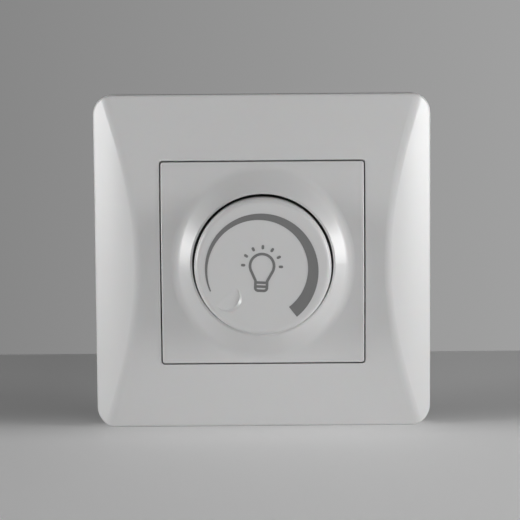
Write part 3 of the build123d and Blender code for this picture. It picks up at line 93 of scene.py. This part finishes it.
def mottle(tree, shader, place, low, high, size, rough=None, bump=None, bump_size=None,
           stretch=(1, 1, 1)):
    """Gives a surface its small colour drift and, if asked, uneven gloss and fine relief."""
    spread = node(tree, "ShaderNodeMapping", {"Vector": place}, Scale=stretch)
    cloud = node(tree, "ShaderNodeTexNoise", {"Vector": spread.outputs["Vector"]},
                 Scale=per_mm(size), Detail=4.0, Roughness=0.55)
    tint = node(tree, "ShaderNodeMix", {"Factor": cloud.outputs["Fac"]}, {"data_type": "RGBA"},
                {6: srgb(low), 7: srgb(high)})
    tree.links.new(tint.outputs[2], shader.inputs["Base Color"])
    if rough:
        gloss = node(tree, "ShaderNodeMapRange", {"Value": cloud.outputs["Fac"]},
                     From_Min=0.3, From_Max=0.7, To_Min=rough[0], To_Max=rough[1])
        tree.links.new(gloss.outputs["Result"], shader.inputs["Roughness"])
    if bump:
        grain = node(tree, "ShaderNodeTexNoise", {"Vector": spread.outputs["Vector"]},
                     Scale=per_mm(bump_size), Detail=3.0, Roughness=0.6)
        relief = node(tree, "ShaderNodeBump", {"Height": grain.outputs["Fac"]},
                      Strength=bump, Distance=RELIEF_DEPTH * MM)
        tree.links.new(relief.outputs["Normal"], shader.inputs["Normal"])
    return tint.outputs[2]


# ---------------------------------------------------------------- finishes


def painted_well_shade(tree, place, inner, outer):
    """Share of painted shade on a ring round the knob's axis, from the mouth of the well inwards.
    The dark colour is painted shade: it makes the gap round the knob read as a black line, and it
    fades out towards the bottom, which leaves the lower gap pale."""
    split = node(tree, "ShaderNodeSeparateXYZ", {"Vector": place})
    flat = node(tree, "ShaderNodeCombineXYZ", {"X": split.outputs["X"], "Y": split.outputs["Z"]})
    reach = node(tree, "ShaderNodeVectorMath", {0: flat.outputs["Vector"]}, {"operation": "LENGTH"})
    beyond = node(tree, "ShaderNodeMapRange", {"Value": reach.outputs["Value"]},
                  From_Min=(inner - WELL_SHADE_EDGE) * MM, From_Max=inner * MM, To_Min=0.0, To_Max=1.0)
    within = node(tree, "ShaderNodeMapRange", {"Value": reach.outputs["Value"]},
                  From_Min=outer * MM, From_Max=(outer + WELL_SHADE_EDGE) * MM, To_Min=1.0, To_Max=0.0)
    below = node(tree, "ShaderNodeMapRange", {"Value": split.outputs["Y"]},
                 From_Min=-WELL_MOUTH * MM, From_Max=(WELL_SHADE_LIP - WELL_MOUTH) * MM,
                 To_Min=0.0, To_Max=1.0)
    # The painted shade fades out towards the bottom of the well.
    upper = node(tree, "ShaderNodeMapRange", {"Value": split.outputs["Z"]},
                 {"interpolation_type": "SMOOTHSTEP"},
                 From_Min=WELL_SHADE_FADE_BOTTOM * MM, From_Max=WELL_SHADE_FADE_TOP * MM, To_Min=0.0, To_Max=1.0)
    well_shade = beyond.outputs["Result"]
    for part in (within, below, upper):
        both = node(tree, "ShaderNodeMath", {0: well_shade, 1: part.outputs["Result"]},
                    {"operation": "MULTIPLY"})
        well_shade = both.outputs["Value"]
    return well_shade


def moulded_white(name, low, high, roughness, well_shade_ring=None):
    """Polycarbonate blend, moulded in a polished tool: an even milky white with a soft gloss.
    A trace of uneven shrinkage lets the tone drift slowly over the surface. The ring, given as its
    inner and outer radius, carries painted shade in the gap of the knob well."""
    material, tree, shader, place = finish_of(name, high, roughness, IOR=1.58,
                                              Subsurface_Weight=MILKINESS,
                                              Subsurface_Scale=MILK_DEPTH * MM)
    plastic = mottle(tree, shader, place, low, high, 14.0)
    if well_shade_ring:
        # Painted shade: the ring turns dark and loses its milky glow.
        well_shade = painted_well_shade(tree, place, *well_shade_ring)
        tint = node(tree, "ShaderNodeMix", {"Factor": well_shade, 6: plastic}, {"data_type": "RGBA"},
                    {7: srgb(WELL_SHADE_COLOUR)})
        tree.links.new(tint.outputs[2], shader.inputs["Base Color"])
        milk = node(tree, "ShaderNodeMapRange", {"Value": well_shade},
                    From_Min=0.0, From_Max=1.0, To_Min=MILKINESS, To_Max=0.0)
        tree.links.new(milk.outputs["Result"], shader.inputs["Subsurface Weight"])
    return material


def zinc_plate(name, low="#999a9b", high="#a8a9aa", roughness=0.36):
    """Mild steel sheet or wire, stamped and then zinc plated: a cool satin grey, faintly cloudy."""
    material, tree, shader, place = finish_of(name, high, roughness, 1.0)
    mottle(tree, shader, place, low, high, 3.5, (roughness - 0.04, roughness + 0.06), 0.06, 0.3)
    return material


def rolled_thread(name, screw):
    """Zinc plated steel screw with a rolled thread: a right-hand ridge winds round the shank. The
    real lead is 0.6 mm a turn, too fine to show, so it is drawn twice as coarse. The end is plain."""
    lo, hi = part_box(screw)
    start = THREAD_START * MM
    end = hi.y - THREAD_END_GAP * MM
    material, tree, shader, place = finish_of(name, "#a8a9aa", 0.34, 1.0)
    mottle(tree, shader, place, "#999a9b", "#a8a9aa", 3.5, (0.3, 0.4))
    split = node(tree, "ShaderNodeSeparateXYZ", {"Vector": place})
    sideways = node(tree, "ShaderNodeMath", {0: split.outputs["X"]}, {"operation": "SUBTRACT"},
                    {1: (lo.x + hi.x) / 2})
    angle = node(tree, "ShaderNodeMath", {0: split.outputs["Z"], 1: sideways.outputs["Value"]},
                 {"operation": "ARCTAN2"})
    climb = node(tree, "ShaderNodeMath", {0: split.outputs["Y"], 2: angle.outputs["Value"]},
                 {"operation": "MULTIPLY_ADD"}, {1: 2 * math.pi * per_mm(THREAD_LEAD)})
    ridge = node(tree, "ShaderNodeMath", {0: climb.outputs["Value"]}, {"operation": "COSINE"})
    shank = node(tree, "ShaderNodeMath", {0: split.outputs["Y"]}, {"operation": "COMPARE"},
                 {1: (start + end) / 2, 2: (end - start) / 2})
    height = node(tree, "ShaderNodeMath", {0: ridge.outputs["Value"], 1: shank.outputs["Value"]},
                  {"operation": "MULTIPLY"})
    relief = node(tree, "ShaderNodeBump", {"Height": height.outputs["Value"]},
                  Strength=1.0, Distance=THREAD_HALF_DEPTH * MM)
    tree.links.new(relief.outputs["Normal"], shader.inputs["Normal"])
    return material


def turned_brass(name):
    """Free-cutting brass from the lathe: warm yellow, with fine rings from the tool."""
    material, tree, shader, place = finish_of(name, "#b08d4a", 0.32, 1.0)
    mottle(tree, shader, place, "#a17f3e", "#bb9a58", 1.2, (0.26, 0.4), 0.3, 0.12, (1, 6, 1))
    return material


def strip_bronze(name):
    """Phosphor bronze strip, rolled and blanked: pinkish gold with lengthwise roll marks."""
    material, tree, shader, place = finish_of(name, "#b48a5c", 0.34, 1.0)
    mottle(tree, shader, place, "#a67b4e", "#bf986c", 0.9, (0.26, 0.42), 0.2, 0.1, (1, 8, 1))
    return material


def spark_textured(name, low, high):
    """Heat-resistant moulding from a spark-eroded tool: dark, with a fine matt grain."""
    material, tree, shader, place = finish_of(name, high, 0.55, IOR=1.53)
    mottle(tree, shader, place, low, high, 4.0, (0.48, 0.62), 0.9, 0.18)
    return material


def terminal_polyamide():
    """Glass-filled polyamide: mid grey with a dull skin where the fibres come near the surface."""
    material, tree, shader, place = finish_of("terminal_polyamide", "#8f8f8a", 0.5, IOR=1.53)
    mottle(tree, shader, place, "#8a8a85", "#949490", 1.4, (0.42, 0.58), 0.5, 0.15)
    return material


def pad_print(name):
    """Grey two-part ink laid down by a silicone pad: flat, slightly less glossy than the plastic."""
    material, tree, shader, place = finish_of(name, "#7e7e7e", 0.45, IOR=1.5)
    mottle(tree, shader, place, "#7c7c7c", "#7f7f7f", 0.8, (0.4, 0.5), 0.1, 0.1)
    return material


def varnished_board():
    """Glass-epoxy laminate under green solder varnish: the weave shows as a grid of lighter lines."""
    material, tree, shader, place = finish_of("varnished_board", "#1f5a32", 0.3, IOR=1.55)
    weave = node(tree, "ShaderNodeTexBrick", {"Vector": place}, Scale=per_mm(WEAVE_SIZE),
                 Mortar_Size=0.04, Color1=srgb("#1f5a32"), Color2=srgb("#1b5230"),
                 Mortar=srgb("#2c7342"))
    tree.links.new(weave.outputs["Color"], shader.inputs["Base Color"])
    relief = node(tree, "ShaderNodeBump", {"Height": weave.outputs["Fac"]},
                  Strength=0.3, Distance=WEAVE_DEPTH * MM)
    tree.links.new(relief.outputs["Normal"], shader.inputs["Normal"])
    return material


def clear_glass(name, tint, roughness=0.03):
    """Drawn glass: clear, with a tint that drifts a little along the tube or bead."""
    material, tree, shader, place = finish_of(name, tint, roughness, IOR=1.52, Transmission_Weight=0.9)
    mottle(tree, shader, place, tint, "#ffffff", 5.0)
    return material


def banded_resistor():
    """Carbon film resistor: beige lacquer with printed colour rings round the body."""
    material, tree, shader, place = finish_of("banded_resistor", "#c9ab78", 0.35, IOR=1.5)
    split = node(tree, "ShaderNodeSeparateXYZ", {"Vector": place})
    rings = node(tree, "ShaderNodeMath", {0: split.outputs["X"]}, {"operation": "PINGPONG"},
                 {1: BAND_SPACING * MM})
    edge = node(tree, "ShaderNodeMath", {0: rings.outputs["Value"]}, {"operation": "GREATER_THAN"},
                {1: BAND_START * MM})
    tint = node(tree, "ShaderNodeMix", {"Factor": edge.outputs["Value"]}, {"data_type": "RGBA"},
                {6: srgb("#c9ab78"), 7: srgb("#7a3b22")})
    tree.links.new(tint.outputs[2], shader.inputs["Base Color"])
    return material


def plain_finish(name, low, high, size, roughness, metallic=0.0, bump=0.3, bump_size=0.2, **extra):
    """A moulded, dipped, painted or pressed surface with a little drift in colour and gloss."""
    material, tree, shader, place = finish_of(name, high, roughness, metallic, **extra)
    mottle(tree, shader, place, low, high, size, (roughness - 0.06, roughness + 0.08), bump, bump_size)
    return material


FINISHES = {
    "outer_frame": moulded_white("moulded_white_frame", "#dddddd", "#dfdfdf", 0.32),
    "centre_plate": moulded_white("moulded_white_plate", "#dbdbdb", "#dddddd", 0.32, PLATE_WELL_SHADE),
    "control_knob": moulded_white("moulded_white_knob", "#dcdcdc", "#dedede", 0.28, KNOB_WELL_SHADE),
    "pad_print": pad_print("grey_pad_print"),
    "zinc": zinc_plate("zinc_plated_steel"),
    "zinc_dark": zinc_plate("zinc_plated_spring_steel", "#858687", "#939495", 0.4),
    "thread_left": rolled_thread("rolled_thread_left", "claw_screw_left"),
    "thread_right": rolled_thread("rolled_thread_right", "claw_screw_right"),
    "brass": turned_brass("turned_brass"),
    "bronze": strip_bronze("phosphor_bronze_strip"),
    "housing": spark_textured("spark_textured_polyamide", "#252628", "#2e2f32"),
    "phenolic": spark_textured("moulded_phenolic", "#15120f", "#211c18"),
    "block": terminal_polyamide(),
    "board": varnished_board(),
    "fuse_glass": clear_glass("drawn_glass_tube", "#eef6f2"),
    "diac_glass": clear_glass("amber_glass_bead", "#c8803c", 0.1),
    "resistor": banded_resistor(),
    "track": plain_finish("carbon_ink_on_phenolic", "#3a2415", "#5a3a22", 1.5, 0.5),
    "epoxy": plain_finish("moulded_epoxy_package", "#141414", "#1e1e1e", 1.0, 0.5),
    "mica": plain_finish("mica_sheet", "#c9c4ae", "#dcd8c6", 2.0, 0.2),
    "nickel": plain_finish("nickel_plated_cap", "#b7b4ab", "#c6c3ba", 1.0, 0.22, 1.0),
    "core": plain_finish("painted_iron_powder", "#b9a136", "#cbb44a", 1.0, 0.5),
    "copper": plain_finish("enamelled_copper_wire", "#8a3f1c", "#a9552a", 0.6, 0.25, 1.0),
    "film": plain_finish("dipped_film_capacitor", "#b39a2e", "#c2aa3c", 2.0, 0.3),
    "tinned": plain_finish("tinned_pressing", "#a9a9a4", "#bababa", 1.5, 0.35, 1.0),
    "aluminium": plain_finish("drawn_aluminium", "#b2b3b5", "#c4c5c7", 0.5, 0.32, 1.0),
    "label": plain_finish("metallised_label_film", "#85878a", "#8d8f92", 3.0, 0.35),
}

FINISH_OF_NODE = {
    "outer_frame": "outer_frame", "centre_plate": "centre_plate", "control_knob": "control_knob",
    "level_arc_print": "pad_print", "bulb_symbol_print": "pad_print",
    "knob_spring_clip": "zinc_dark", "spindle": "aluminium", "spindle_bush": "brass",
    "bush_nut": "brass", "bush_lock_washer": "zinc", "centre_plate_nut": "zinc",
    "centre_plate_washer": "zinc", "potentiometer_can": "tinned", "resistance_track": "track",
    "potentiometer_tags": "tinned", "wiper_disc": "phenolic", "wiper_brush": "bronze",
    "switch_rotor": "phenolic", "switch_blade": "bronze", "switch_housing": "phenolic",
    "switch_contacts": "bronze", "support_plate": "zinc", "claw_left": "zinc_dark",
    "claw_right": "zinc_dark", "claw_pins": "zinc", "claw_screw_left": "thread_left",
    "claw_screw_right": "thread_right", "spreader_nut_left": "zinc_dark", "spreader_nut_right": "zinc_dark",
    "module_housing": "housing", "housing_screws": "zinc", "circuit_board": "board",
    "triac": "epoxy", "triac_insulator": "mica", "triac_screw": "zinc", "triac_nut": "zinc",
    "fuse_glass": "fuse_glass", "fuse_caps": "nickel", "fuse_clips": "bronze",
    "choke_core": "core", "choke_winding": "copper", "film_capacitors": "film",
    "carbon_resistors": "resistor", "diac": "diac_glass", "terminal_block": "block",
    "terminal_clamps": "brass", "terminal_screws": "zinc", "rating_label": "label",
}

for name, piece in nodes.items():
    piece.data.materials.clear()
    piece.data.materials.append(FINISHES[FINISH_OF_NODE[name]])

# ---------------------------------------------------------------- floor, light and camera

FLOOR_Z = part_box("outer_frame")[0].z
TABLE_SIDE = 1400
TABLE_FRONT = -1200
TABLE_BACK = 116
# Painted light on the table: how far the lighter right side reaches, where the painted far shade runs, and
# the glow.
TABLE_TINT_REACH = 60
SHADE_START = -30
SHADE_END = 25
TABLE_PAINTED_GLOW = 0.16


def stage_floor():
    """Pale table with painted light: its colour glows a little as painted light from below, its far part
    is darkened as painted shade, and it is painted lighter to the right."""
    material, tree, shader, place = finish_of("pale_table", "#e0e0e0", 0.7, Emission_Strength=TABLE_PAINTED_GLOW)
    split = node(tree, "ShaderNodeSeparateXYZ", {"Vector": place})
    # Painted light: lighter to the right.
    across = node(tree, "ShaderNodeMapRange", {"Value": split.outputs["X"]},
                  From_Min=-TABLE_TINT_REACH * MM, From_Max=TABLE_TINT_REACH * MM,
                  To_Min=0.0, To_Max=1.0)
    # Painted shade: darker on the far part.
    away = node(tree, "ShaderNodeMapRange", {"Value": split.outputs["Y"]},
                {"interpolation_type": "SMOOTHERSTEP"},
                From_Min=SHADE_START * MM, From_Max=SHADE_END * MM, To_Min=0.0, To_Max=1.0)
    near = node(tree, "ShaderNodeMix", {"Factor": across.outputs["Result"]}, {"data_type": "RGBA"},
                {6: srgb("#e0e0e0"), 7: srgb("#f3f3f3")})
    far = node(tree, "ShaderNodeMix", {"Factor": across.outputs["Result"]}, {"data_type": "RGBA"},
               {6: srgb("#a9a9a9"), 7: srgb("#c4c4c4")})
    tint = node(tree, "ShaderNodeMix",
                {"Factor": away.outputs["Result"], 6: near.outputs[2], 7: far.outputs[2]},
                {"data_type": "RGBA"})
    tree.links.new(tint.outputs[2], shader.inputs["Base Color"])
    # Painted glow: the painted colour is emitted as well.
    tree.links.new(tint.outputs[2], shader.inputs["Emission Color"])
    mesh = bpy.data.meshes.new("table_top")
    side, front, back = TABLE_SIDE * MM, TABLE_FRONT * MM, TABLE_BACK * MM
    mesh.from_pydata([(-side, front, FLOOR_Z), (side, front, FLOOR_Z),
                      (side, back, FLOOR_Z), (-side, back, FLOOR_Z)], [], [(0, 1, 2, 3)])
    mesh.materials.append(material)
    table = bpy.data.objects.new("table_top", mesh)
    bpy.context.scene.collection.objects.link(table)


def studio_world():
    """Even grey surround, a little lighter to the right."""
    world = bpy.data.worlds.new("studio")
    bpy.context.scene.world = world
    world.use_nodes = True
    tree = world.node_tree
    tree.nodes.clear()
    place = node(tree, "ShaderNodeTexCoord")
    split = node(tree, "ShaderNodeSeparateXYZ", {"Vector": place.outputs["Generated"]})
    across = node(tree, "ShaderNodeMapRange", {"Value": split.outputs["X"]},
                  From_Min=-0.13, From_Max=0.13, To_Min=0.0, To_Max=1.0)
    tint = node(tree, "ShaderNodeMix", {"Factor": across.outputs["Result"]}, {"data_type": "RGBA"},
                {6: srgb("#878787"), 7: srgb("#a0a0a0")})
    seen = node(tree, "ShaderNodeBackground", {"Color": tint.outputs[2]}, Strength=1.0)
    fill = node(tree, "ShaderNodeBackground", Color=srgb("#b4b4b4"), Strength=0.18)
    ray = node(tree, "ShaderNodeLightPath")
    choice = node(tree, "ShaderNodeMixShader",
                  {"Fac": ray.outputs["Is Camera Ray"], 1: fill.outputs["Background"],
                   2: seen.outputs["Background"]})
    node(tree, "ShaderNodeOutputWorld", {"Surface": choice.outputs["Shader"]})


def soft_light(name, place, target, width, height, power, spread=180.0):
    """Rectangular lamp aimed at a target; a small spread makes it a narrow beam."""
    lamp = bpy.data.lights.new(name, "AREA")
    lamp.spread = math.radians(spread)
    lamp.shape = "RECTANGLE"
    lamp.size = width
    lamp.size_y = height
    lamp.energy = power
    made = bpy.data.objects.new(name, lamp)
    bpy.context.scene.collection.objects.link(made)
    made.location = place
    made.rotation_mode = "QUATERNION"
    made.rotation_quaternion = (Vector(target) - Vector(place)).to_track_quat("-Z", "Y")


CAMERA_AIM = (-0.67, -12.4, 1.11)
CAMERA_DISTANCE = 491.8
CAMERA_ELEVATION = 6.0
CAMERA_ROLL = 0.45
LENS = 141.0
SENSOR = 36


def camera():
    """Long lens about half a metre in front, a little above, with a trace of roll."""
    elevation = math.radians(CAMERA_ELEVATION)
    roll = math.radians(CAMERA_ROLL)
    aim = Vector(CAMERA_AIM) * MM
    data = bpy.data.cameras.new("camera")
    data.sensor_width = SENSOR
    data.lens = LENS
    made = bpy.data.objects.new("camera", data)
    bpy.context.scene.collection.objects.link(made)
    back = Vector((0, -math.cos(elevation), math.sin(elevation)))
    made.location = aim + back * CAMERA_DISTANCE * MM
    made.rotation_mode = "QUATERNION"
    turn = (-back).to_track_quat("-Z", "Y")
    made.rotation_quaternion = turn @ Matrix.Rotation(-roll, 3, "Z").to_quaternion()
    bpy.context.scene.camera = made


stage_floor()
studio_world()
soft_light("left_softbox", (-0.78, -0.235, -0.02), (0, 0, 0), 0.24, 0.6, 5.95)
soft_light("right_softbox", (0.78, -0.235, -0.02), (0, 0, 0), 0.24, 0.6, 6.5)
soft_light("front_fill", (0.34, -0.62, 0.16), (0, 0, 0), 0.45, 0.45, 0.73)
soft_light("overhead_fill", (0.05, -0.22, 0.85), (0, -0.05, 0), 0.8, 0.35, 0.16)
soft_light("rear_beam", (0, 0.55, 0.2), (0, 0.02, 0), 0.05, 0.05, 0.016, 3.0)
camera()
bpy.context.scene.view_settings.view_transform = "Standard"
